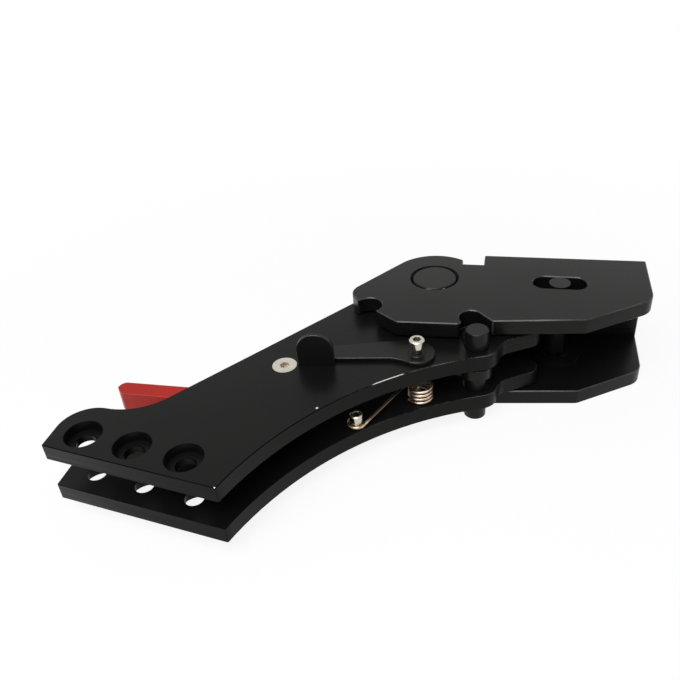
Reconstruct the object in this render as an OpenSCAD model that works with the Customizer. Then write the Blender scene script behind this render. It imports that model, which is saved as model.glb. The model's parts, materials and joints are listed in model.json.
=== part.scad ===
// Folding mechanism of a stand-up scooter, lying on its side.
// Two long arm plates bolt to the deck, and a forked head that carries the steering stem turns on a pivot pin.
// A red lever carries the lock pin, which drops into a notch of the head in the riding and in the folded place.
// The plan is drawn about the pivot axis, with X along the head's back edge, and its box is centred on the origin.

/* [Plates] */
// Thickness of each arm plate
arm_t = 8; // [6:0.5:10]
// Thickness of each head cheek
cheek_t = 8; // [6:0.5:10]
// Gap between the two arm plates
arm_gap = 15; // [14:0.5:20]
// Gap between an arm plate and the cheek beside it
side_gap = 1.25; // [1:0.05:2]

/* [Pivot] */
// Diameter of the pivot pin
pivot_d = 22; // [18:0.5:24]
// Radius of the rounded boss round the pivot, on arm and head
boss_r = 23.6; // [22:0.1:25]
// Width of the chamfer round the pivot pin on a cheek
pivot_chamfer = 1.4; // [0.5:0.1:2]
// Wall of the flanged pivot bushes
bush_wall = 2; // [1.5:0.1:3]
// Width of the flange of a pivot bush
bush_flange = 4; // [2:0.5:6]
// Wall of the spacer tube between the arm plates
spacer_wall = 3.5; // [2:0.5:5]

/* [Arm] */
// Middle deck hole, along the head from the pivot
deck_x = -109.6; // [-125:0.1:-105]
// Middle deck hole, across the head from the pivot
deck_y = -130.4; // [-140:0.1:-125]
// Turn of the deck hole row from the head's back edge
deck_turn = -9.1; // [-12:0.1:-6]
// Spacing of the deck holes
deck_pitch = 24.7; // [22:0.1:26]
// Diameter of the deck holes
deck_hole_d = 8.5; // [8.2:0.1:9]
// Diameter of the deck counterbores
counterbore_d = 16; // [14:0.5:18]
// Depth of the deck counterbores
counterbore_depth = 4.5; // [3:0.5:5.5]
// Deck hole row to the end edge of the arm
deck_edge = 11.2; // [10:0.1:13]
// Middle deck hole to the left end of the arm
deck_left = 37.8; // [36:0.1:40]
// Middle deck hole to the right end of the arm
deck_right = 45.4; // [42:0.1:47]
// Lean of the arm's left edge, from its foot to the lobe
lobe_lean = 3.7; // [2:0.1:5]
// Deck hole row to the top of the lobe at the left end
lobe_top = 16.2; // [16:0.1:18]
// Slope of the top of the lobe against the deck hole row
lobe_slope = 5; // [3:0.5:7]
// Radius of the lobe
lobe_r = 15; // [12:0.5:15]
// Radius of the hollow between lobe and back edge
hollow_r = 27.5; // [20:0.5:27.5]
// Direction of the arm's back edge
arm_back_turn = 52; // [51:0.5:54]
// Radius of the long hollow front edge
front_r = 156; // [140:1:157]
// Direction of the front edge at the deck end
front_turn = 70.4; // [69:0.1:71]
// Radius that takes the sharp corners off the deck end
deck_corner_r = 1; // [0.5:0.1:1]

/* [Arm nose] */
// Direction square to the edge from pivot boss to nose
nose_normal = 41.5; // [38:0.5:45]
// Direction square to the underside of the nose
nose_under_normal = -60; // [-63:0.5:-57]
// Pivot to the underside of the nose
nose_under_d = 52.9; // [52:0.1:54]
// Radius of the nose
nose_r = 6.5; // [5:0.5:7]
// Radius of the hollow between nose and tip
nose_hollow_r = 9; // [6:0.5:10]
// Direction square to the side of the front tip
tip_side_normal = -10; // [-12:0.5:-8]
// Pivot to the side of the front tip
tip_side_d = 42; // [41:0.1:43]
// Direction square to the front edge at the tip
tip_front_normal = -68.9; // [-70:0.1:-68]
// Pivot to the front edge at the tip
tip_front_d = 59.5; // [59:0.1:61]
// Radius of the front tip
tip_r = 9.5; // [7:0.5:10]

/* [Head] */
// Pivot to the right end of the head
head_right = 104.2; // [98:0.1:110]
// Pivot to the back edge of the head
head_back = 25.3; // [25:0.1:28]
// Thickness of the back wall between the cheeks
wall_t = 6.8; // [5:0.1:8]
// Pivot to the left side of the back notch
back_notch_x = 13; // [12:0.5:15]
// Width of the back notch
back_notch_w = 11; // [10:0.5:13]
// Pivot to the floor of the back notch
back_notch_y = 15.25; // [14.5:0.25:17]
// Direction of the cheeks' back edge left of the pivot
cheek_back_turn = 54; // [52:0.5:56]
// Direction square to the cheeks' left end
left_end_normal = 213.3; // [211:0.1:215]
// Pivot to the cheeks' left end
left_end_d = 43.2; // [42:0.1:43.5]
// Radius of the corner between back edge and left end
left_back_r = 8; // [6:0.5:9]
// Radius of the corner between left end and slanted edge
left_end_r = 4; // [3:0.5:5]
// Direction square to the slanted edge beside the folded notch
slant_normal = 232.3; // [230:0.1:234]
// Pivot to that slanted edge
slant_d = 41.65; // [41:0.05:42]
// Radius of the corner between slanted edge and front edge
slant_r = 5; // [3:0.5:6]
// Direction square to the front edge left of the riding notch
hook_front_normal = -88.2; // [-90:0.1:-87]
// Pivot to the front edge left of the riding notch
hook_front_d = 41.85; // [41.5:0.05:42]
// Radius on the tip of the hook beside the riding notch
hook_tip_r = 2; // [1:0.5:3]
// Direction square to the front edge right of the riding notch
front_normal = -83; // [-85:0.5:-81]
// Pivot to the front edge right of the riding notch
front_d = 41; // [40:0.1:42]
// Direction square to the slanted front right edge
chamfer_normal = -56.4; // [-59:0.1:-54]
// Pivot to the slanted front right edge
chamfer_d = 67.4; // [65:0.1:69]
// Radius of the corner between front edge and slanted edge
chamfer_r = 6; // [3:0.5:8]
// Radius of the right end's front corner
right_end_r = 10.5; // [6:0.5:12]
// Middle of the slot, along the head from the pivot
slot_x = 61.7; // [58:0.1:66]
// Length of the slot in the cheeks
slot_len = 26; // [24:0.5:30]
// Width of the slot in the cheeks
slot_w = 11.8; // [11.4:0.1:13]
// Diameter of the pin in the slot
slot_pin_d = 10.2; // [9:0.1:11]
// Diameter of the washers that cover the slots from inside
washer_d = 27; // [26:0.5:29]
// Thickness of those washers
washer_t = 1.1; // [0.8:0.1:1.1]
// Thickness of the clips on the slot pin
clip_t = 1.2; // [1:0.1:1.5]
// Width of the ring of a clip
clip_w = 3.6; // [3:0.1:4]
// Depth of the clip grooves in the slot pin
groove_depth = 0.9; // [0.5:0.1:1.2]

/* [Lock] */
// Diameter of the lock pin
lock_pin_d = 10.5; // [10:0.5:12]
// Pivot to the lock pin when it is home in a notch
lock_r = 40.5; // [40:0.1:41.5]
// Direction from the pivot to the lock pin when it is home
lock_turn = -59.1; // [-61:0.1:-57]
// Angle that the lever swings to free the lock pin
lock_travel = 7; // [7:0.1:7.4]
// Angle that the head turns from riding to folded
fold_angle = 76; // [72:0.5:80]
// Clearance round the lock pin in the riding notch and its slots
lock_clear = 0.3; // [0.2:0.05:0.4]
// Clearance round the lock pin in the folded notch
folded_clear = 1; // [0.4:0.1:1.2]
// Direction of the flared side of the riding notch
flare_turn = -47; // [-55:1:-40]

/* [Release lever] */
// Lever screw, along the head from the pivot
lever_x = -61.4; // [-66:0.1:-59]
// Lever screw, across the head from the pivot
lever_y = -69.6; // [-72:0.1:-66]
// Thickness of the lever's handle and boss
lever_t = 12; // [11:0.5:12.5]
// Thickness of the steel lock arm that is let into the lever
lock_arm_t = 6; // [5:0.5:6]
// Width of the tongue that keys the lock arm to the handle
tongue_w = 6; // [5:0.5:6]
// Lever screw to the end of that tongue
tongue_reach = 26; // [22:0.5:27]
// Direction of that tongue from the lever screw
tongue_turn = 208; // [205:1:210]
// Width of the lock arm's bar between lever screw and lock pin
bar_w = 10; // [8:0.5:11]
// How far that bar bows towards the back
bar_bow = 11; // [10:0.5:12]
// Radius of the lever's boss
lever_boss_r = 11; // [10:0.5:13]
// Wall of the lock arm's eye round the lock pin
eye_wall = 2.3; // [2:0.1:2.5]
// Width of the handle
handle_w = 8.4; // [7:0.1:10]
// Lever screw to the middle of the handle, towards the front
handle_drop = 14; // [13:0.5:16]
// Lever screw to the end of the handle
handle_reach = 80.2; // [70:0.1:85]
// Diameter of the sleeve that the lever turns on
sleeve_d = 10; // [9:0.5:11]
// Wall of the lever's bush
lever_bush_wall = 2; // [1.5:0.1:3]
// Diameter of the lever screws
lever_screw_d = 6; // [5:0.5:6.5]
// Diameter of the lever screws' countersunk heads
lever_head_d = 12; // [11:0.5:13]
// Length of the lever screws
lever_screw_len = 14; // [12:0.5:15]
// Width across flats of the lever screws' sockets
lever_socket = 4; // [3:0.5:4.5]

/* [Safety catch] */
// Catch screw, along the head from the pivot
catch_x = -1.9; // [-4:0.1:0]
// Catch screw, across the head from the pivot
catch_y = -55.8; // [-57:0.1:-55]
// Diameter of the catch screw
catch_screw_d = 4; // [3:0.5:4.5]
// Diameter of the catch screw's head
catch_head_d = 7; // [6:0.1:8]
// Height of the catch screw's head
catch_head_h = 4; // [3.5:0.5:5]
// Length of the catch screw under its head
catch_screw_len = 35; // [32:0.5:38]
// Width across flats of the catch screw's socket
catch_socket = 3.5; // [2.5:0.5:4]
// Bare shank between the catch and the screw head
catch_standoff = 3.2; // [2:0.1:5]
// Thickness of the catch's sheet
catch_t = 2; // [1.5:0.1:2.5]
// Direction of the catch from its screw to its tab
catch_turn = 187; // [185:0.5:189]
// Radius of the catch's eye
catch_eye_r = 8.3; // [7.5:0.1:8.5]
// Screw to the front edge of the catch's bar
catch_front = 4.15; // [3.5:0.05:4.5]
// Screw to the back edge of the bar at the tab
catch_back = 4; // [3:0.1:5]
// Screw to the back edge of the bar beside the eye
catch_shoulder = 10.6; // [9:0.1:10.6]
// Screw to the left end of the catch
catch_len = 54.4; // [50:0.1:56]
// Width of the thumb tab
tab_w = 17; // [14:0.5:19]
// Height of the thumb tab over the arm plate
tab_h = 16.7; // [14:0.1:20]
// Sheet between the bar's front edge and the thumb tab
tab_bend = 0.8; // [0.5:0.1:1.5]
// Diameter of the catch bush where it passes the arm plate
catch_bush_d = 8; // [7:0.5:9]
// Diameter of the catch collar under the arm plate
collar_d = 12; // [10:0.5:13]
// Height of the catch collar
collar_h = 5.2; // [4:0.1:6]
// Depth of the flat on the catch collar
collar_flat = 1.4; // [0.5:0.1:1.8]

/* [Catch spring] */
// Outer diameter of the spring
spring_d = 12; // [11:0.1:13]
// Diameter of the spring wire
wire_d = 1.4; // [1:0.1:1.4]
// Number of turns of the spring
spring_turns = 3.75; // [2.75:1:3.75]
// Rise of the spring in one turn
spring_pitch = 2.1; // [1.6:0.1:2.1]
// How far the loose spring lies to the right of the catch screw
spring_right = 1.6; // [0:0.1:1.6]
// How far the loose spring lies in front of the catch screw
spring_front = 1.9; // [0:0.1:1.9]
// Length of the spring's short tail
tail_len = 3; // [2:0.5:6]
// Spring post, along the head from the pivot
post_x = -26.6; // [-29:0.1:-24]
// Spring post, across the head from the pivot
post_y = -80.8; // [-82.5:0.1:-79]
// Diameter of the spring post
post_d = 6; // [5:0.1:7]
// Height of the spring post over the lower plate
post_h = 6.8; // [5:0.1:9]
// Width across flats of the spring post's socket
post_socket = 3; // [2:0.5:3.5]
// Diameter of the end of the post that sits in the lower plate
post_end_d = 4; // [3:0.5:4.5]
// Depth of the post's end in the lower plate
post_end_len = 5; // [3:0.5:5.5]

/* [Clearances] */
// Radial clearance of a running fit
run_clear = 0.04; // [0.02:0.01:0.08]
// Radial clearance of a seated fit
seat_clear = 0.02; // [0.01:0.01:0.03]
// Clearance between flat faces that slide on each other
face_clear = 0.05; // [0.03:0.01:0.1]

/* [Hidden] */
$fn = 96;

// Heights over the outer face of the lower cheek
lower_z = cheek_t + side_gap;
gap_z = lower_z + arm_t;
upper_z = gap_z + arm_gap;
arm_top = upper_z + arm_t;
cheek_z = arm_top + side_gap;
head_h = cheek_z + cheek_t;
mid_z = head_h / 2;
// Overlap of a cutting tool past the face that it cuts
cut = 1;
// Small step that lets an arc cross an edge instead of only touching it
slack = 0.03;

// Directions, turns and lines of the plan; a line has the direction of its normal and its distance from the pivot
function dir(a) = [cos(a), sin(a)];
function heading(v) = atan2(v.y, v.x);
function turned(p, a) = [p.x * cos(a) - p.y * sin(a), p.x * sin(a) + p.y * cos(a)];
function about(p, c, a) = c + turned(p - c, a);
function meet(a1, d1, a2, d2) =
    [d1 * sin(a2) - d2 * sin(a1), d2 * cos(a1) - d1 * cos(a2)] / sin(a2 - a1);
function cross_point(p, a, q, b) = meet(a + 90, p * dir(a + 90), b + 90, q * dir(b + 90));
function with_r(p, r) = [p.x, p.y, r];
function xy(p) = [p.x, p.y];

deck_mid = [deck_x, deck_y];
lever_at = [lever_x, lever_y];
catch_at = [catch_x, catch_y];
post_at = [post_x, post_y];
slot_at = [slot_x, 0];
function deck_point(u, v) = deck_mid + turned([u, v], deck_turn);

// The lock pin home in a notch, and free of the head at the end of its slot, where it is drawn
lock_home = lock_r * dir(lock_turn);
lock_free = about(lock_home, lever_at, -lock_travel);
lock_swing = norm(lock_home - lever_at);
lock_out = heading(lock_free - lock_home);
lock_hole_r = lock_pin_d / 2 + lock_clear;

// Corners of the arm plates, each with the radius that rounds it
deck_corner_left = deck_point(-deck_left, -deck_edge);
deck_corner_right = deck_point(deck_right, -deck_edge);
lobe_corner = deck_point(-deck_left - lobe_lean, lobe_top);
back_normal = arm_back_turn + 90;
lobe_normal = deck_turn + lobe_slope + 90;
tip_corner = meet(tip_side_normal, tip_side_d, tip_front_normal, tip_front_d);
arm_corners = [
    with_r(deck_corner_right, deck_corner_r),
    with_r(deck_corner_left, deck_corner_r),
    with_r(lobe_corner, lobe_r),
    with_r(meet(lobe_normal, lobe_corner * dir(lobe_normal), back_normal, boss_r), hollow_r),
    with_r(meet(back_normal, boss_r, nose_normal, boss_r), boss_r),
    with_r(meet(nose_normal, boss_r, nose_under_normal, nose_under_d), nose_r),
    with_r(meet(nose_under_normal, nose_under_d, tip_side_normal, tip_side_d), nose_hollow_r),
    with_r(tip_corner, tip_r),
    with_r(cross_point(tip_corner, tip_front_normal + 90, deck_corner_right, front_turn), front_r)
];

// Corners of the head cheeks, before the boss, the notches and the slot
cheek_back_normal = cheek_back_turn + 90;
back_notch_end = back_notch_x + back_notch_w;
lock_line = lock_out + 90;
lock_line_d = lock_home * dir(lock_line);
cheek_corners = [
    with_r(meet(left_end_normal, left_end_d, cheek_back_normal, boss_r), left_back_r),
    with_r(boss_r * dir(cheek_back_normal), 0),
    [back_notch_x, back_notch_y, 0],
    [back_notch_end, back_notch_y, 0],
    [back_notch_end, head_back, 0],
    [head_right, head_back, 0],
    with_r(meet(0, head_right, chamfer_normal, chamfer_d), right_end_r),
    with_r(meet(chamfer_normal, chamfer_d, front_normal, front_d), chamfer_r),
    with_r(meet(front_normal, front_d, lock_line, lock_line_d), 0),
    with_r(meet(hook_front_normal, hook_front_d, lock_line, lock_line_d), 0),
    with_r(meet(hook_front_normal, hook_front_d, slant_normal, slant_d), slant_r),
    with_r(meet(slant_normal, slant_d, left_end_normal, left_end_d), left_end_r)
];

// Where the pivot stands, with the box of the whole object centred on the origin
pivot_at = -[deck_corner_left.x + head_right, deck_corner_right.y + head_back] / 2;

pivot_bush_r = pivot_d / 2 + run_clear + bush_wall;
lever_bush_r = sleeve_d / 2 + run_clear + lever_bush_wall;
catch_z = arm_top + face_clear;
catch_head_z = catch_z + catch_t + catch_standoff;
lever_z = mid_z - lever_t / 2;
lock_arm_z = lever_z + lever_t - lock_arm_t;
groove_r = slot_pin_d / 2 - groove_depth;
clip_gap = 0.1;
washer_upper_z = cheek_z - face_clear - washer_t;
washer_lower_z = cheek_t + face_clear;
clip_upper_z = washer_upper_z - clip_gap - clip_t;
clip_lower_z = washer_lower_z + washer_t + clip_gap;

module in_place() translate([pivot_at.x, pivot_at.y, 0]) children();
module plate(z, t) in_place() translate([0, 0, z]) linear_extrude(t) children();
module on_axis(p, z) in_place() translate([p.x, p.y, z]) children();

// The piece between the corner b of an outline and the arc that rounds it, with the corners a and c beside it
module corner_piece(a, b, c, r) {
    u = (a - b) / norm(a - b);
    v = (c - b) / norm(c - b);
    half = acos(u * v) / 2;
    reach = r / tan(half);
    inward = (u + v) / norm(u + v);
    centre = b + inward * r / sin(half);
    square_u = (centre - b - u * reach) / r;
    square_v = (centre - b - v * reach) / r;
    difference() {
        polygon([
            b - inward * cut / sin(half), b + v * reach - square_v * cut, centre, b + u * reach - square_u * cut
        ]);
        translate(centre) circle(r + slack);
    }
}

// A closed outline through corners listed clockwise, each rounded by its own radius
module rounded_outline(corners) {
    n = len(corners);
    function bend(i) = cross(
        xy(corners[i]) - xy(corners[(i + n - 1) % n]), xy(corners[(i + 1) % n]) - xy(corners[i]));
    module rounding(i) corner_piece(
        xy(corners[(i + n - 1) % n]), xy(corners[i]), xy(corners[(i + 1) % n]), corners[i].z);
    difference() {
        polygon([for (i = [n - 1:-1:0]) xy(corners[i])]);
        for (i = [0:n - 1]) if (corners[i].z > 0 && bend(i) < 0) rounding(i);
    }
    for (i = [0:n - 1]) if (corners[i].z > 0 && bend(i) > 0) rounding(i);
}

// A slot of radius r that follows the arc from p to q about the point c, with q clockwise of p
module arc_slot(c, p, q, r) {
    far = norm(p - c);
    mid = (heading(p - c) + heading(q - c)) / 2;
    intersection() {
        translate(c) difference() {
            circle(far + r - slack);
            circle(far - r + slack);
        }
        polygon([c, c + 2 * (q - c), c + 2 * far * dir(mid), c + 2 * (p - c)]);
    }
    translate(p) circle(r);
    translate(q) circle(r);
}

module ring(outer_r, inner_r, h) difference() {
    cylinder(r = outer_r, h = h);
    translate([0, 0, -cut]) cylinder(r = inner_r, h = h + 2 * cut);
}

// One arm plate with its outer face up, and the hole that the safety catch's axis needs in it
module arm_plate(catch_hole_r) difference() {
    linear_extrude(arm_t) difference() {
        rounded_outline(arm_corners);
        circle(pivot_bush_r + seat_clear);
        arc_slot(lever_at, lock_home, lock_free, lock_hole_r);
        translate(catch_at) circle(catch_hole_r);
        translate(lever_at) circle(lever_screw_d / 2 + lock_clear);
        for (i = [-1:1]) translate(deck_point(i * deck_pitch, 0)) circle(d = deck_hole_d);
    }
    for (i = [-1:1])
        translate([deck_point(i * deck_pitch, 0).x, deck_point(i * deck_pitch, 0).y, arm_t - counterbore_depth])
            cylinder(d = counterbore_d, h = counterbore_depth + cut);
    translate([lever_x, lever_y, arm_t - lever_head_d / 2])
        cylinder(r1 = seat_clear, r2 = lever_head_d / 2 + seat_clear + cut, h = lever_head_d / 2 + cut);
}

module arm_plate_upper() color("#2a2a29") in_place() translate([0, 0, upper_z])
    arm_plate(catch_bush_d / 2 + run_clear);

module arm_plate_lower() color("#2a2a29") difference() {
    in_place() translate([0, 0, gap_z]) mirror([0, 0, 1]) arm_plate(catch_screw_d / 2 + seat_clear);
    on_axis(post_at, gap_z - post_end_len - face_clear)
        cylinder(r = post_end_d / 2 + seat_clear, h = post_end_len + face_clear + cut);
}

// The channel that the lock pin slides out of, with its round seat of radius r at home
module lock_notch(r) {
    translate(lock_home) circle(r);
    translate(lock_home) rotate(lock_out) translate([0, slack - r]) square([lock_r, 2 * (r - slack)]);
}

module flare() {
    start = lock_home + (lock_hole_r - slack) * dir(flare_turn + 90);
    polygon([lock_home, start, start + lock_r * dir(flare_turn), lock_home + lock_r * dir(lock_out)]);
}

module cheek_outline() {
    hook_corner = meet(hook_front_normal, hook_front_d, lock_line, lock_line_d - lock_hole_r);
    difference() {
        union() {
            rounded_outline(cheek_corners);
            circle(boss_r + slack);
        }
        translate([back_notch_x, back_notch_y]) square([back_notch_w, head_back]);
        lock_notch(lock_hole_r);
        flare();
        rotate(-fold_angle) lock_notch(lock_pin_d / 2 + folded_clear);
        corner_piece(
            hook_corner - dir(lock_out), hook_corner, hook_corner - dir(hook_front_normal + 90), hook_tip_r);
        translate([slot_x - (slot_len - slot_w) / 2, slack - slot_w / 2])
            square([slot_len - slot_w, slot_w - 2 * slack]);
        for (s = [-1, 1]) translate([slot_x + s * (slot_len - slot_w) / 2, 0]) circle(d = slot_w);
    }
}

// Head: cheeks and back wall milled from one block
module head_bracket() color("#3b3a38") in_place() difference() {
    union() {
        for (z = [0, cheek_z]) translate([0, 0, z]) linear_extrude(cheek_t) cheek_outline();
        translate([back_notch_end, head_back - wall_t, cheek_t / 2])
            cube([head_right - back_notch_end, wall_t, head_h - cheek_t]);
    }
    bore_r = pivot_d / 2 + seat_clear;
    translate([0, 0, -cut]) cylinder(r = bore_r, h = head_h + 2 * cut);
    for (end = [0, 1]) translate([0, 0, end * head_h]) mirror([0, 0, end]) translate([0, 0, -cut])
        cylinder(r1 = bore_r + pivot_chamfer + cut, r2 = bore_r, h = pivot_chamfer + cut);
}

module pivot_pin() {
    edge = 0.5;
    r = pivot_d / 2;
    color("#3a3937") on_axis([0, 0], 0) rotate_extrude()
        polygon([[0, 0], [r - edge, 0], [r, edge], [r, head_h - edge], [r - edge, head_h], [0, head_h]]);
}

// Flanged bush in an arm plate; its flange runs against the cheek
module pivot_bush() {
    inner = pivot_d / 2 + run_clear;
    rotate_extrude() polygon([
        [inner, 0], [pivot_bush_r, 0], [pivot_bush_r, arm_t], [pivot_bush_r + bush_flange, arm_t],
        [pivot_bush_r + bush_flange, arm_t + side_gap - face_clear], [inner, arm_t + side_gap - face_clear]
    ]);
}

module pivot_bush_upper() color("#a5793f") on_axis([0, 0], upper_z) pivot_bush();
module pivot_bush_lower() color("#a5793f") on_axis([0, 0], gap_z) mirror([0, 0, 1]) pivot_bush();

module pivot_spacer() {
    inner = pivot_d / 2 + lock_clear;
    color("#4a4a4a") on_axis([0, 0], gap_z) ring(inner + spacer_wall, inner, arm_gap);
}

// Red lever: a handle and a boss, with a seat in its upper face for the lock arm
module release_lever() {
    handle_front = -handle_drop - handle_w / 2;
    handle_back = -handle_drop + handle_w / 2;
    neck_back = [-28, handle_back];
    neck_front = [-12, handle_front];
    neck_back_normal = heading(-neck_back) + asin(lever_boss_r / norm(neck_back)) + 90;
    neck_front_normal = heading(-neck_front) - asin(lever_boss_r / norm(neck_front)) - 90;
    color("#b3282a") difference() {
        plate(lever_z, lever_t) difference() {
            translate(lever_at) rounded_outline([
                [4 - handle_reach, handle_front, 0.8],
                [-handle_reach, handle_front + handle_w / 2, 2],
                [1.2 - handle_reach, handle_back, 3.5],
                with_r(neck_back, 15),
                with_r(meet(neck_back_normal, lever_boss_r, 20, lever_boss_r), lever_boss_r),
                with_r(meet(20, lever_boss_r, neck_front_normal, lever_boss_r), lever_boss_r),
                with_r(neck_front, 10)
            ]);
            translate(lever_at) circle(lever_bush_r + seat_clear);
        }
        plate(lock_arm_z, lock_arm_t + cut) lock_arm_root(2 * face_clear);
    }
}

// Boss and tongue of the lock arm, grown by the given clearance
module lock_arm_root(clear) translate(lever_at) {
    circle(lever_boss_r + clear);
    rotate(tongue_turn) translate([0, -tongue_w / 2 - clear]) square([tongue_reach + clear, tongue_w + 2 * clear]);
}

// Lock arm with the lock pin free: boss, tongue, bowed bar and eye
module lock_arm() {
    chord = norm(lock_free - lever_at);
    bow_r = (chord * chord / 4 + bar_bow * bar_bow) / (2 * bar_bow);
    towards = (lock_free - lever_at) / chord;
    bow_at = (lever_at + lock_free) / 2 + (bow_r - bar_bow) * [towards.y, -towards.x];
    color("#2e2d2c") plate(lock_arm_z, lock_arm_t) difference() {
        union() {
            lock_arm_root(0);
            translate(lock_free) circle(lock_pin_d / 2 + eye_wall);
            intersection() {
                translate(bow_at) difference() {
                    circle(bow_r + bar_w / 2);
                    circle(bow_r - bar_w / 2);
                }
                polygon([
                    bow_at, bow_at + 2 * (lock_free - bow_at), bow_at + 3 * ((lever_at + lock_free) / 2 - bow_at),
                    bow_at + 2 * (lever_at - bow_at)
                ]);
            }
        }
        translate(lever_at) circle(lever_bush_r + seat_clear);
        translate(lock_free) circle(lock_pin_d / 2 + seat_clear);
    }
}

module lock_pin() {
    edge = 0.4;
    r = lock_pin_d / 2;
    color("#3a3937") on_axis(lock_free, 0) rotate_extrude()
        polygon([[0, 0], [r - edge, 0], [r, edge], [r, head_h - edge], [r - edge, head_h], [0, head_h]]);
}

module lever_bush() color("#a5793f") on_axis(lever_at, gap_z + face_clear)
    ring(lever_bush_r, sleeve_d / 2 + run_clear, arm_gap - 2 * face_clear);

module lever_sleeve() color("#b9b9b6") on_axis(lever_at, gap_z)
    ring(sleeve_d / 2, lever_screw_d / 2 + seat_clear, arm_gap);

// Countersunk screw with its head's face at zero, pointing down
module lever_screw() {
    r = lever_screw_d / 2;
    head_r = lever_head_d / 2;
    land = 0.3;
    difference() {
        rotate_extrude() polygon([
            [0, 0], [head_r - land, 0], [head_r - land, -land],
            [r, r - head_r], [r, -lever_screw_len], [0, -lever_screw_len]
        ]);
        translate([0, 0, -lever_socket / 2 - 0.5]) cylinder(d = lever_socket / cos(30), h = lever_socket, $fn = 6);
    }
}

module lever_screw_upper() color("#c4beb4") on_axis(lever_at, arm_top) lever_screw();
module lever_screw_lower() color("#c4beb4") on_axis(lever_at, lower_z) mirror([0, 0, 1]) lever_screw();

// Catch bent from sheet: an eye, a tapered bar and a thumb tab turned up at its front edge
module catch_lever() color("#262625") on_axis(catch_at, catch_z) rotate(catch_turn) {
    tab_front = catch_front + tab_bend + catch_t;
    tab_mid = tab_h - face_clear - tab_w / 2;
    linear_extrude(catch_t) difference() {
        union() {
            circle(catch_eye_r);
            rounded_outline([
                [-3, -7, 0], [3, 7.3, 0], [11.5, catch_front, 10], [catch_len, catch_front, 0],
                [catch_len, -catch_back, 4], [2, -catch_shoulder, 6]
            ]);
            translate([catch_len - tab_w, 0]) square([tab_w, tab_front]);
        }
        circle(catch_bush_d / 2 + seat_clear);
    }
    translate([catch_len - tab_w, tab_front, 0]) rotate([90, 0, 0]) linear_extrude(catch_t) {
        square([tab_w, tab_mid]);
        intersection() {
            translate([tab_w / 2, tab_mid]) circle(d = tab_w);
            square([tab_w, tab_h]);
        }
    }
}

// Turned bush that the catch is fixed to, with a collar under the arm plate that has a flat on one side
module catch_bush() color("#1f1f1f") on_axis(catch_at, 0) difference() {
    top = catch_z + catch_t;
    collar_top = upper_z - face_clear;
    union() {
        translate([0, 0, collar_top - collar_h]) cylinder(d = collar_d, h = collar_h);
        translate([0, 0, collar_top - collar_h]) cylinder(d = catch_bush_d, h = top - collar_top + collar_h);
    }
    translate([0, 0, -cut]) cylinder(r = catch_screw_d / 2 + run_clear, h = head_h + 2 * cut);
    translate([-collar_d, collar_d / 2 - collar_flat, collar_top - collar_h - cut])
        cube([2 * collar_d, collar_d, collar_h + cut]);
}

module catch_screw() color("#cfc8bd") on_axis(catch_at, 0) difference() {
    edge = 0.4;
    r = catch_head_d / 2;
    rotate_extrude() polygon([
        [0, catch_head_z - catch_screw_len], [catch_screw_d / 2, catch_head_z - catch_screw_len],
        [catch_screw_d / 2, catch_head_z], [r, catch_head_z], [r, catch_head_z + catch_head_h - edge],
        [r - edge, catch_head_z + catch_head_h], [0, catch_head_z + catch_head_h]
    ]);
    translate([0, 0, catch_head_z + catch_head_h / 2])
        cylinder(d = catch_socket / cos(30), h = catch_head_h, $fn = 6);
}

// Short post for the spring's leg, with a socket in its end and its foot in the lower plate
module spring_post() color("#c9c5bd") on_axis(post_at, gap_z) difference() {
    edge = 0.5;
    r = post_d / 2;
    rotate_extrude() polygon([
        [0, -post_end_len], [post_end_d / 2, -post_end_len], [post_end_d / 2, 0], [r, 0],
        [r, post_h - edge], [r - edge, post_h], [0, post_h]
    ]);
    translate([0, 0, post_h / 2]) cylinder(d = post_socket / cos(30), h = post_h, $fn = 6);
}

// Torsion spring: a tail, turns round the catch screw, a leg from the top turn, and a hook round the post's foot
coil_r = (spring_d - wire_d) / 2;
coil_at = catch_at + [spring_right, -spring_front];
coil_z = gap_z + wire_d / 2 + face_clear;
coil_rise = spring_pitch * spring_turns;
hook_r = post_d / 2 + wire_d / 2 + face_clear;
hook_z = coil_z + 0.8;
hook_sweep = 200;
leg_turn = heading(post_at - coil_at) + asin((coil_r + hook_r) / norm(post_at - coil_at));
coil_start = leg_turn - 90 - 360 * spring_turns;
tail_at = coil_at + coil_r * dir(coil_start) + tail_len * dir(coil_start - 90);
coil_steps = round(16 * spring_turns);
hook_steps = 10;
spring_path = concat(
    [[tail_at.x, tail_at.y, coil_z]],
    [for (i = [0:coil_steps])
        let (part = i / coil_steps, p = coil_at + coil_r * dir(coil_start + 360 * spring_turns * part))
        [p.x, p.y, coil_z + coil_rise * part]],
    [for (i = [0:hook_steps]) let (p = post_at + hook_r * dir(leg_turn + 90 - hook_sweep * i / hook_steps))
        [p.x, p.y, hook_z]]
);

// A round wire with the given number of sides, swept along a path that is never upright
module wire(path, d, sides) {
    n = len(path);
    function along(i) = path[min(i + 1, n - 1)] - path[max(i - 1, 0)];
    function across(i) = let (s = cross(along(i), [0, 0, 1])) s / norm(s);
    function over(i) = let (s = cross(across(i), along(i))) s / norm(s);
    polyhedron(
        [for (i = [0:n - 1]) for (k = [0:sides - 1]) let (a = 360 * k / sides)
            path[i] + d / 2 * (across(i) * cos(a) + over(i) * sin(a))],
        concat(
            [[for (k = [0:sides - 1]) k]],
            [for (i = [0:n - 2]) for (k = [0:sides - 1]) let (next = (k + 1) % sides)
                [i * sides + k, (i + 1) * sides + k, (i + 1) * sides + next, i * sides + next]],
            [[for (k = [sides - 1:-1:0]) (n - 1) * sides + k]]
        )
    );
}

module catch_spring() color("#8f6f55") in_place() wire(spring_path, wire_d, 8);

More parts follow.
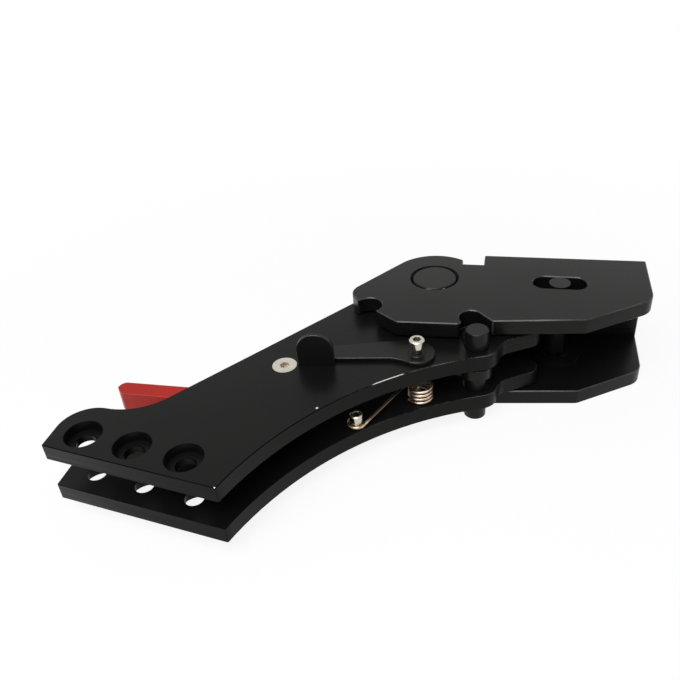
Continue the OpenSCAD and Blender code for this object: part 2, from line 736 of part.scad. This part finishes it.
// Turned pin that slides in the slots of both cheeks, with a groove for each clip
module slot_pin() color("#2e2d2c") on_axis(slot_at, 0) difference() {
    cylinder(d = slot_pin_d, h = head_h);
    for (z = [clip_lower_z, clip_upper_z]) translate([0, 0, z - face_clear]) difference() {
        cylinder(r = slot_pin_d, h = clip_t + 2 * face_clear);
        translate([0, 0, -cut]) cylinder(r = groove_r, h = clip_t + 2 * face_clear + 2 * cut);
    }
}

module slot_washer_upper() color("#2e2d2c") on_axis(slot_at, washer_upper_z)
    ring(washer_d / 2, slot_pin_d / 2 + run_clear, washer_t);
module slot_washer_lower() color("#2e2d2c") on_axis(slot_at, washer_lower_z)
    ring(washer_d / 2, slot_pin_d / 2 + run_clear, washer_t);

// Open retaining clip that snaps into a groove of the slot pin
module slot_clip() difference() {
    ring(groove_r + seat_clear + clip_w, groove_r + seat_clear, clip_t);
    translate([-groove_r * 0.7, -slot_pin_d, -cut]) cube([groove_r * 1.4, slot_pin_d, clip_t + 2 * cut]);
}

module slot_clip_upper() color("#6d6a66") on_axis(slot_at, clip_upper_z) slot_clip();
module slot_clip_lower() color("#6d6a66") on_axis(slot_at, clip_lower_z) slot_clip();

arm_plate_upper();
arm_plate_lower();
head_bracket();
pivot_pin();
pivot_bush_upper();
pivot_bush_lower();
pivot_spacer();
release_lever();
lock_arm();
lock_pin();
lever_bush();
lever_sleeve();
lever_screw_upper();
lever_screw_lower();
catch_lever();
catch_bush();
catch_screw();
catch_spring();
spring_post();
slot_pin();
slot_washer_upper();
slot_washer_lower();
slot_clip_upper();
slot_clip_lower();
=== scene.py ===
# Folding mechanism of a stand-up scooter, lying on its side on a white table.
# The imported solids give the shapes. This script breaks their edges, finishes them and sets the photograph's view.
import json
from math import asin, atan2, cos, hypot, pi, radians, sin
import bmesh
import bpy
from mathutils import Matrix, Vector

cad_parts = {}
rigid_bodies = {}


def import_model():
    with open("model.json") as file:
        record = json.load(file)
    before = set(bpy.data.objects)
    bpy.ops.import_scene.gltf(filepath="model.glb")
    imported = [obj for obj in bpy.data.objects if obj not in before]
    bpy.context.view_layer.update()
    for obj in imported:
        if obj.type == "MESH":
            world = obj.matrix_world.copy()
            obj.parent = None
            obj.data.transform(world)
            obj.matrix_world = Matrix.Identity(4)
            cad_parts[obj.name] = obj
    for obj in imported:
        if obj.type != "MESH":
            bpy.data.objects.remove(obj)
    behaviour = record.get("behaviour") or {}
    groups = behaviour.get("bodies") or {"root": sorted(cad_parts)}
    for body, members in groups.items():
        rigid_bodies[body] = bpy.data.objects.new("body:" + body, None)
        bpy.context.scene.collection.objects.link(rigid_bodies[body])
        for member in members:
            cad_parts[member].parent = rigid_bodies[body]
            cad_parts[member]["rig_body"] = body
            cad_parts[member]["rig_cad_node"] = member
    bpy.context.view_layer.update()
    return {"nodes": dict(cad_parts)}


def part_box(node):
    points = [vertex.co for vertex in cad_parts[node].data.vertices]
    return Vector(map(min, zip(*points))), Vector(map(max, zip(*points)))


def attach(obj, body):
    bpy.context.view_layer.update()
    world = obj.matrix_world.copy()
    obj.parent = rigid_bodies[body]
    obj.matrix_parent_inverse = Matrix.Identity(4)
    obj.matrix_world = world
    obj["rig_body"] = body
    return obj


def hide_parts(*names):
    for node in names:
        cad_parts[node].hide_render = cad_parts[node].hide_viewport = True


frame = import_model()
mm = 0.001


# Arm
# Two plates milled from thick aluminium bar, bead blasted and anodised black, which bolt to the deck at one end.
# Their edges are broken and painted near black towards the deck, a painted shade, and paler towards the head, partly
# wear and partly a painted highlight. The upper plate is bare metal for a short run of its front edge, both are
# chipped, and a painted glint sits on the upper plate's front corner.
class Value:
    """A socket of a shader; sums and products on it add Math nodes."""

    def __init__(self, tree, socket):
        self.tree, self.socket = tree, socket

    def node(self, kind, settings, sockets, output=0):
        made = self.tree.nodes.new(kind)
        for name, setting in settings.items():
            setattr(made, name, setting)
        for name, value in sockets.items():
            if isinstance(value, Value):
                self.tree.links.new(value.socket, made.inputs[name])
            else:
                made.inputs[name].default_value = value
        return Value(self.tree, made.outputs[output])

    def math(self, operation, other, swap=False):
        first, second = (other, self) if swap else (self, other)
        return self.node("ShaderNodeMath", {"operation": operation}, {0: first, 1: second})

    def __add__(self, other):
        return self.math("ADD", other)

    def __sub__(self, other):
        return self.math("SUBTRACT", other)

    def __rsub__(self, other):
        return self.math("SUBTRACT", other, swap=True)

    def __mul__(self, other):
        return self.math("MULTIPLY", other)

    __radd__, __rmul__ = __add__, __mul__

    def step(self, low, high):
        """0 below low, 1 above high, and smooth between."""
        return self.node("ShaderNodeMapRange", {"interpolation_type": "SMOOTHSTEP"}, {0: self, 1: low, 2: high})

    def within(self, low, high, soft):
        return self.step(low - soft, low + soft) * (1 - self.step(high - soft, high + soft))

    def noise(self, per_mm, detail=2.0):
        return self.node("ShaderNodeTexNoise", {}, {"Vector": self, "Scale": per_mm / mm, "Detail": detail})

    def axis(self, i):
        return self.node("ShaderNodeSeparateXYZ", {}, {0: self}, i)

    def scaled(self, x, y, z):
        return self.node("ShaderNodeVectorMath", {"operation": "MULTIPLY"}, {0: self, 1: (x, y, z)})

    def distance(self, point):
        return self.node("ShaderNodeVectorMath", {"operation": "DISTANCE"}, {0: self, 1: point}, 1)

    def from_axis(self, x, y):
        """Distance from the upright axis through a point."""
        return self.scaled(1, 1, 0).distance((x, y, 0))

    def ridges(self, per_mm):
        """Even waves from 0 to 1 along this length."""
        return 0.5 + 0.5 * self.math("MULTIPLY", 2 * pi * per_mm / mm).math("SINE", 0)

    def mix(self, low, high):
        """The colour low where this is 0, and high where it is 1."""
        return self.node("ShaderNodeMix", {"data_type": "RGBA"}, {0: self, 6: low, 7: high}, 2)


def shade(value):
    """A grey or a colour as it looks on screen, from 0 to 255, made linear."""
    channels = value if isinstance(value, tuple) else (value,) * 3
    return tuple(((c / 255 + 0.055) / 1.055) ** 2.4 for c in channels) + (1.0,)


def finish(name, **fixed):
    """A new material, its shader with the fixed values, and the coordinates of the object."""
    material = bpy.data.materials.new(name)
    material.use_nodes = True
    tree = material.node_tree
    shader = tree.nodes["Principled BSDF"]
    for socket, value in fixed.items():
        shader.inputs[socket.replace("_", " ")].default_value = value
    return material, shader, Value(tree, tree.nodes.new("ShaderNodeTexCoord").outputs["Object"])


def feed(shader, **values):
    for socket, value in values.items():
        value.tree.links.new(value.socket, shader.inputs[socket.replace("_", " ")])


def relief(place, height, depth_mm):
    return place.node("ShaderNodeBump", {}, {"Strength": 1.0, "Distance": depth_mm * mm, "Height": height})


def bare_spots(place, spots):
    """1 on each small spot (x, y, z, radius), in millimetres, of bare metal: where the finish is knocked off, and on
    some spots a painted glint.
    """
    def spot(x, y, z, r):
        ragged = place.distance((x * mm, y * mm, z * mm)) + (0.9 * r * mm) * (place.noise(1.6) - 0.5)
        return 1 - ragged.step(0.7 * r * mm, r * mm)
    return sum(spot(*s) for s in spots)


warm_sheen = (1.0, 0.985, 0.94, 1.0)
bare_metal = 205


def anodised(name, dark, light, gloss, roughness, spots=()):
    """Blasted aluminium under a dye: fine grain, faint clouds, the cutter's lines along the sides and a few bare spots,
    one on the arm a painted glint.
    """
    material, shader, place = finish(name, Specular_IOR_Level=gloss, Specular_Tint=warm_sheen)
    cloud = place.noise(0.03).step(0.3, 0.7)
    grain = place.noise(2.5, 1.0)
    lines = place.scaled(0.01, 0.01, 1).noise(0.9).step(0.3, 0.7)
    colour = (0.4 * cloud + 0.3 * grain + 0.3 * lines).mix(shade(dark), shade(light))
    rough = roughness + 0.1 * (grain - 0.5) + 0.06 * (cloud - 0.5) - 0.14 * (lines - 0.5)
    if spots:
        bare = bare_spots(place, spots)
        colour, rough = bare.mix(colour, shade(bare_metal)), rough - 0.1 * bare
        feed(shader, Metallic=bare)
    feed(shader, Base_Color=colour, Roughness=rough, Normal=relief(place, grain, 0.008))
    return material


def edge_wear_and_painted_light(name, dark, bright, gloss, roughness, spots=(), run=None):
    """A broken edge, paler in places: partly wear, and partly painted highlight and painted shade in the colours given
    for each part.

    A run (x from, x to, z from, y below) is bare metal, and the edge keeps its dark colour, a painted shade, until
    shortly before it.
    """
    material, shader, place = finish(name, Specular_IOR_Level=gloss)
    paler = 0.6 * place.noise(0.07).step(0.4, 0.7) + 0.4 * place.noise(0.9).step(0.4, 0.7)
    if run:
        x_from, x_to, z_from, y_below = (v * mm for v in run)
        # Away from the run the edge keeps its dark colour, a painted shade.
        paler = paler * place.axis(0).step(x_from - 20 * mm, x_to)
    colour = paler.mix(shade(dark), shade(bright))
    bare = bare_spots(place, spots) if spots else None
    if run:
        along = place.axis(0).within(x_from, x_to, 0.8 * mm) * place.axis(2).step(z_from - 0.1 * mm, z_from)
        bare = bare + along * (1 - place.axis(1).step(y_below, y_below + mm)) * place.noise(0.8).step(0.2, 0.45)
    if bare:
        colour = bare.mix(colour, shade(bare_metal))
        feed(shader, Metallic=bare)
    feed(shader, Base_Color=colour, Roughness=roughness - 0.08 * paler)
    return material


def dressed(node, body, material, edge_mm=0, edge=None, weld_mm=0.002):
    """Stands in for a CAD node: its own mesh, merged, with its sharp edges broken by a small chamfer."""
    sharp, soft, flat_cap = radians(50), radians(28), 0.999
    piece = frame["nodes"][node].copy()
    piece.data = piece.data.copy()
    piece.name = node + "_finished"
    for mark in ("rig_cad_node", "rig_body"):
        del piece[mark]
    piece.parent = None
    bpy.context.scene.collection.objects.link(piece)
    bpy.ops.object.select_all(action="DESELECT")
    piece.select_set(True)
    bpy.context.view_layer.objects.active = piece
    bpy.ops.mesh.customdata_custom_splitnormals_clear()
    bpy.ops.object.mode_set(mode="EDIT")
    bpy.ops.mesh.select_all(action="SELECT")
    bpy.ops.mesh.remove_doubles(threshold=weld_mm * mm)
    bpy.ops.mesh.dissolve_limited(angle_limit=radians(0.5))
    bpy.ops.object.mode_set(mode="OBJECT")
    piece.data.materials.clear()
    for layer in (material, edge) if edge else (material,):
        piece.data.materials.append(layer)
    if edge_mm:
        shape = bmesh.new()
        shape.from_mesh(piece.data)
        weight = shape.edges.layers.float.new("bevel_weight_edge")
        for line in shape.edges:
            line[weight] = line.is_convex and line.calc_face_angle(0) > sharp
        shape.to_mesh(piece.data)
        shape.free()
        bevel = piece.modifiers.new("broken_edges", "BEVEL")
        bevel.width = edge_mm * mm
        bevel.segments = 1
        bevel.limit_method = "WEIGHT"
        bevel.loop_slide = False
        bevel.material = 1 if edge else -1
        bpy.ops.object.modifier_apply(modifier=bevel.name)
    bpy.ops.object.shade_smooth_by_angle(angle=soft)
    for face in piece.data.polygons:
        face.use_smooth = abs(face.normal.z) < flat_cap
    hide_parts(node)
    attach(piece, body)
    return piece


# Bare spots on the arm: two chipped spots, and on the front corner a painted glint.
arm_chips_and_glint = [(-16.9, -36.1, 40.25, 0.7), (-16.9, -39.3, 17.25, 0.5), (-44.8, -86.6, 40.1, 0.3)]
arm_black = anodised("arm_black_anodised", 12, 16, 0.105, 0.36, arm_chips_and_glint)
# The arm's edges are painted from near black, a painted shade, to pale towards the head, partly a painted highlight.
arm_edge = edge_wear_and_painted_light("arm_black_edge", 3, 84, 0.03, 0.45, arm_chips_and_glint, run=(4.0, 16.0, 40.05, -4))
for plate in ("arm_plate_upper", "arm_plate_lower"):
    dressed(plate, "arm", arm_black, 0.45, arm_edge, weld_mm=0.15)


# Head
# A fork milled from one block, blasted and anodised like the arm but with a little more shine. Its cheeks lie outside
# the arm plates, and its open end takes the foot of the steering stem. The chamfer round the pivot pin is painted near
# black, a painted shade.
head_chips = [(99.9, 30.4, 49.5, 0.4), (108.2, 32.0, 49.5, 0.4)]
head_black = anodised("head_black_anodised", 12, 17, 0.165, 0.33)
# The head's broken edges are painted paler than its faces, partly wear and partly a painted highlight.
head_edge = edge_wear_and_painted_light("head_black_edge", 24, 64, 0.35, 0.32, head_chips)
head = dressed("head_bracket", "head", head_black, 0.45, head_edge)


def middle_of(node):
    low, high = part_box(node)
    return (low + high) / 2


def shade_with_glints(name, spots):
    """Painted shade in near black, with painted glints of bright steel on the spots."""
    material, shader, place = finish(name, Specular_IOR_Level=0.05)
    smear = place.noise(0.5).step(0.3, 0.7)
    bare = bare_spots(place, spots)
    painted_dark = smear.mix(shade(3), shade(8))
    feed(shader, Base_Color=bare.mix(painted_dark, shade(215)), Metallic=bare, Roughness=0.35 + 0.25 * smear)
    return material


pivot = middle_of("pivot_pin")
# Painted shade for the chamfer round the pivot and the pivot pin's side, with painted glints on three spots near the
# pin's top.
pivot_shade_and_glints = shade_with_glints("pivot_shade_and_glints", [(19.8, 50.9, 49.0, 0.8), (21.0, 50.8, 49.0, 0.8), (28.0, 52.2, 49.0, 0.8)])
head.data.materials.append(pivot_shade_and_glints)
painted_shade_layer = 2
chamfer_from, chamfer_to = 10.9 * mm, 12.6 * mm
for face in head.data.polygons:
    out = hypot(face.center.x - pivot.x, face.center.y - pivot.y)
    if chamfer_from < out < chamfer_to and 0.2 < abs(face.normal.z) < 0.95:
        face.material_index = painted_shade_layer


# Pins and lock arm
# Ground steel, blackened in oil: the pivot pin in the head, the lock pin in the lock arm, and the pin in the slot with
# its washers and clips. Their ends are faced on a lathe, which leaves faint rings. The pivot pin's side is painted near
# black, a painted shade, with painted glints.
def blackened(node):
    material, shader, place = finish(node + "_blackened", Specular_IOR_Level=0.18, Specular_Tint=warm_sheen)
    middle = middle_of(node)
    rings = place.from_axis(middle.x, middle.y).ridges(0.9)
    smear = place.noise(0.12).step(0.2, 0.8)
    feed(shader, Base_Color=(0.3 * rings + 0.7 * smear).mix(shade(12), shade(20)),
         Roughness=0.3 + 0.08 * smear, Normal=relief(place, rings, 0.003))
    return material


pin = dressed("pivot_pin", "head", blackened("pivot_pin"))
# The pin's side takes the painted shade and the painted glints.
pin.data.materials.append(pivot_shade_and_glints)
for face in pin.data.polygons:
    face.material_index = int(abs(face.normal.z) < 0.5)

for node, edge_mm in (("lock_arm", 0.3), ("lock_pin", 0.2)):
    dressed(node, "lever", blackened(node), edge_mm)
for node, slot in (("slot_pin", "dark_steel"), ("slot_washer_upper", "dark_steel"), ("slot_washer_lower", "dark_steel"),
                   ("slot_clip_upper", "steel"), ("slot_clip_lower", "steel")):
    dressed(node, "slot_slider", blackened(node))


# Spacer and sleeve
# Turned steel tubes that hold the plates apart on the pivot and on the lever's axis.
def turned_metal(name, dark, light, roughness):
    """Turned on a lathe: fine lines round the axis, a little uneven."""
    material, shader, place = finish(name, Metallic=1.0)
    lines = place.axis(2).ridges(2.2)
    smear = place.noise(0.2).step(0.2, 0.8)
    feed(shader, Base_Color=(0.4 * lines + 0.6 * smear).mix(shade(dark), shade(light)),
         Roughness=roughness + 0.12 * smear, Normal=relief(place, lines, 0.004))
    return material


turned_steel = turned_metal("turned_steel", 96, 128, 0.34)
for node in ("pivot_spacer", "lever_sleeve"):
    dressed(node, "arm", turned_steel)


# Bushes
# Bronze bushes that the pivot pin and the lever turn in, pressed into their seats.
bronze = turned_metal("bush_bronze", (132, 92, 48), (178, 132, 78), 0.32)
for node, body in (("pivot_bush_upper", "arm"), ("pivot_bush_lower", "arm"), ("lever_bush", "lever")):
    dressed(node, body, bronze)


# Release lever
# Cut from aluminium plate, blasted and anodised red, with edges painted bright red as a painted highlight. The steel
# lock arm is let into its boss.
lever_red = anodised("lever_red_anodised", (152, 20, 14), (178, 34, 24), 0.19, 0.36)
# The lever's edge colour is a painted highlight, paler in places.
lever_highlight_edge = edge_wear_and_painted_light("lever_red_painted_highlight", (214, 58, 48), (236, 100, 84), 0.6, 0.36)
dressed("release_lever", "lever", lever_red, 0.6, lever_highlight_edge, weld_mm=0.15)


# Screws and post
# Bright stainless: the countersunk screws of the lever's axis, the cap screw that the catch turns on, and the spring's
# post. Their heads are faced in rings, and their sockets are coloured warmer and duller inside, dark brown in the catch
# screw and the post.
def stainless(node, socket_mm, socket_colour, faces_up):
    """Mirror bright on the flanks and duller on the faced top."""
    material, shader, place = finish(node + "_stainless", Metallic=1.0)
    low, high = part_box(node)
    out = place.from_axis((low.x + high.x) / 2, (low.y + high.y) / 2)
    deep = high.z - place.axis(2) if faces_up else place.axis(2) - low.z
    socket_inside = (1 - out.step(0.94 * socket_mm * mm, socket_mm * mm)) * deep.step(0.05 * mm, 0.5 * mm)
    rings = out.ridges(1.5)
    smear = place.noise(0.15).step(0.2, 0.8)
    faced = 1 - deep.step(0.7 * mm, 1.3 * mm)
    metal = (0.4 * rings + 0.6 * smear).mix(shade((182, 176, 165)), shade((212, 206, 195)))
    feed(shader, Base_Color=(0.85 * socket_inside).mix(metal, shade(socket_colour)),
         Roughness=0.1 + 0.06 * smear + 0.22 * faced + 0.25 * socket_inside, Normal=relief(place, rings, 0.0012))
    return material


# Colours for the insides of the sockets; the catch screw's and the post's are dark brown.
pale_socket, dark_socket = (190, 178, 164), (104, 92, 80)
for node, socket_mm, socket_colour, faces_up, edge_mm in (("lever_screw_upper", 2.35, pale_socket, True, 0),
                                                   ("lever_screw_lower", 2.35, pale_socket, False, 0),
                                                   ("catch_screw", 2.05, dark_socket, True, 0.12),
                                                   ("spring_post", 1.75, dark_socket, True, 0.12)):
    dressed(node, "arm", stainless(node, socket_mm, socket_colour, faces_up), edge_mm)


# Safety catch
# Bent from sheet steel and coated satin black, on a turned bush whose collar runs under the arm plate.
catch_black = anodised("catch_black_coat", 12, 17, 0.17, 0.34)
# The catch's broken edges are painted paler than its faces, partly wear and partly a painted highlight.
catch_edge = edge_wear_and_painted_light("catch_black_edge", 16, 44, 0.25, 0.32)
dressed("catch_lever", "catch", catch_black, 0.3, catch_edge)
dressed("catch_bush", "catch", catch_black, 0.2, catch_edge)


# Catch spring
# Torsion spring of drawn wire with a warm shine: a short tail, turns round the catch screw, and a leg that hooks round
# the foot of the post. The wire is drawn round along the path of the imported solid.
wire_d, coil_r, coil_turns, coil_pitch = 1.4, 5.3, 3.75, 2.1
coil_x, coil_y, coil_z = 21.9475, 3.9695, 18.0
post_x, post_y, hook_r, hook_z, hook_sweep = -4.3525, -19.1305, 3.75, 18.8, radians(200)
tail_len = 3.0


def drawn_wire():
    """Bright on the turns and the hook; along the leg the wire is painted dark, a painted shade, darkest near the
    turns.
    """
    material, shader, place = finish("spring_wire", Metallic=1.0)
    smear = place.noise(0.35).step(0.3, 0.75)
    from_coil = place.from_axis(coil_x * mm, coil_y * mm)
    leg_shade_mask = from_coil.step(6.5 * mm, 9 * mm) * place.from_axis(post_x * mm, post_y * mm).step(4.5 * mm, 7 * mm)
    bright = smear.mix(shade((176, 150, 124)), shade((228, 212, 192)))
    # Painted shade along the leg.
    leg_shade = from_coil.step(10 * mm, 20 * mm).mix(shade((34, 28, 22)), shade((98, 84, 66)))
    feed(shader, Base_Color=leg_shade_mask.mix(bright, leg_shade), Roughness=0.28 + 0.1 * smear)
    return material


def round_point(x, y, r, turn, z):
    return (x + r * cos(turn), y + r * sin(turn), z)


leg_turn = atan2(post_y - coil_y, post_x - coil_x) + asin((coil_r + hook_r) / hypot(post_x - coil_x, post_y - coil_y))
coil_sweep = 2 * pi * coil_turns
coil_start = leg_turn - pi / 2 - coil_sweep
first = round_point(coil_x, coil_y, coil_r, coil_start, coil_z)
path = [round_point(first[0], first[1], tail_len, coil_start - pi / 2, coil_z)]
coil_steps, hook_steps = 150, 24
path += [round_point(coil_x, coil_y, coil_r, coil_start + coil_sweep * i / coil_steps,
                     coil_z + coil_pitch * coil_turns * i / coil_steps) for i in range(coil_steps + 1)]
path += [round_point(post_x, post_y, hook_r, leg_turn + pi / 2 - hook_sweep * i / hook_steps, hook_z)
         for i in range(hook_steps + 1)]
line = bpy.data.curves.new("catch_spring_path", "CURVE")
line.dimensions = "3D"
line.bevel_depth = wire_d / 2 * mm
line.bevel_resolution = 4
line.use_fill_caps = True
run = line.splines.new("POLY")
run.points.add(len(path) - 1)
for point, (x, y, z) in zip(run.points, path):
    point.co = (x * mm, y * mm, z * mm, 1)
spring = bpy.data.objects.new("catch_spring_finished", line)
bpy.context.scene.collection.objects.link(spring)
bpy.ops.object.select_all(action="DESELECT")
spring.select_set(True)
bpy.context.view_layer.objects.active = spring
bpy.ops.object.convert(target="MESH")
spring = bpy.context.object
spring.data.materials.append(drawn_wire())
bpy.ops.object.shade_smooth_by_angle(angle=radians(40))
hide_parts("catch_spring")
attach(spring, "arm")


# Table and studio
# A white sheet that runs out of view in a white room. Cameras and mirrors see both as plain white, and the sheet keeps
# a soft shadow near the part. One broad lamp hangs in front and above, and brightens the broken edges.
def seen_plain(tree):
    """1 for what a camera, a mirror or glass sees, and 0 for light that falls on the object."""
    rays = tree.nodes.new("ShaderNodeLightPath").outputs
    camera_ray, glossy, through = (Value(tree, rays[f"Is {kind} Ray"]) for kind in ("Camera", "Glossy", "Transmission"))
    return camera_ray.math("MAXIMUM", glossy).math("MAXIMUM", through)


bpy.ops.object.select_all(action="DESELECT")
bpy.ops.mesh.primitive_plane_add(size=6.0)
table = bpy.context.object
table.name = "white_table"
sheet, sheet_shader, sheet_place = finish("white_table", Roughness=0.9)
feed(sheet_shader, Base_Color=sheet_place.noise(0.02).mix(shade(248), shade(252)))
sheet_lit = Value(sheet.node_tree, sheet_shader.outputs[0])
white = sheet_place.node("ShaderNodeEmission", {}, {"Strength": 1.0})
plain = (0.88 + 0.12 * sheet_place.distance((0, 0, 0)).step(0.12, 0.4)) * seen_plain(sheet.node_tree)
shown = sheet_place.node("ShaderNodeMixShader", {}, {0: plain, 1: sheet_lit, 2: white})
sheet.node_tree.links.new(shown.socket, sheet.node_tree.nodes["Material Output"].inputs[0])
table.data.materials.append(sheet)

room = bpy.data.worlds.new("studio")
bpy.context.scene.world = room
room.use_nodes = True
walls = room.node_tree.nodes["Background"]
walls.inputs["Color"].default_value = (1, 1, 1, 1)
feed(walls, Strength=0.4 + 0.6 * seen_plain(room.node_tree))

lamp = bpy.data.lights.new("softbox", "AREA")
lamp.shape = "RECTANGLE"
lamp.size, lamp.size_y = 0.8, 0.6
lamp.energy = 8
softbox = bpy.data.objects.new("softbox", lamp)
bpy.context.scene.collection.objects.link(softbox)
softbox.location = (-0.1, -0.5, 0.85)
softbox.rotation_euler = (-softbox.location).to_track_quat("-Z", "Y").to_euler()


# Camera
# The photograph's view: from the front and above, rolled a little, with the lens found from the plates' own edges.
camera = bpy.data.objects.new("camera", bpy.data.cameras.new("camera"))
bpy.context.scene.collection.objects.link(camera)
camera.data.sensor_width = 36
camera.data.lens = 39.504
camera.data.clip_start = 0.01
camera.location = (0.05904, -0.26984, 0.24243)
camera.rotation_euler = (radians(55.4334), radians(4.2943), radians(12.1647))
bpy.context.scene.camera = camera
bpy.context.scene.view_settings.view_transform = "Standard"
